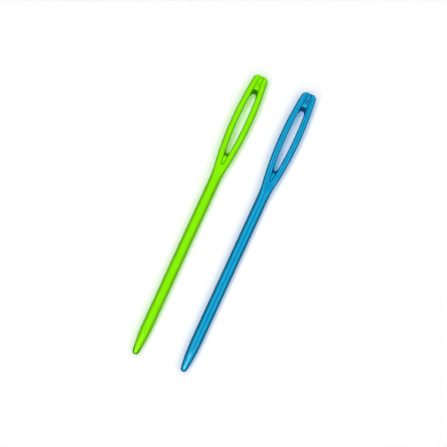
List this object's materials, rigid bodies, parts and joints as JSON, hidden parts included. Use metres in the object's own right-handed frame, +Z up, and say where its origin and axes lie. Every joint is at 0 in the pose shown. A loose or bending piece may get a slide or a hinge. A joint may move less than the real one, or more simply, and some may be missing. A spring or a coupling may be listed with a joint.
{
  "type": "yarn needle",
  "caption": "Blunt moulded plastic yarn needles laid side by side, each a round shaft that parts into two bowed rails round a long eye, for sewing in yarn ends.",
  "frame": {"origin": "on the surface that the needles lie on, under the middle of the pair's box", "axes": "+Y runs along both needles, from their blunt tips to their square ends. +Z points up from the surface they lie on. +X points from the green needle to the blue one"},
  "size_m": [0.0166, 0.071, 0.0026],
  "materials": {
    "green_plastic": "gloss",
    "blue_plastic": "gloss"
  },
  "bodies": {
    "green_needle": {"green_needle": "green_plastic"},
    "blue_needle": {"blue_needle": "blue_plastic"}
  },
  "joints": [
    {"name": "blue_needle_lift", "type": "slide", "parent": "green_needle", "child": "blue_needle", "axis": [0, 0, 1], "range_m": [0, 0.05]}
  ]
}
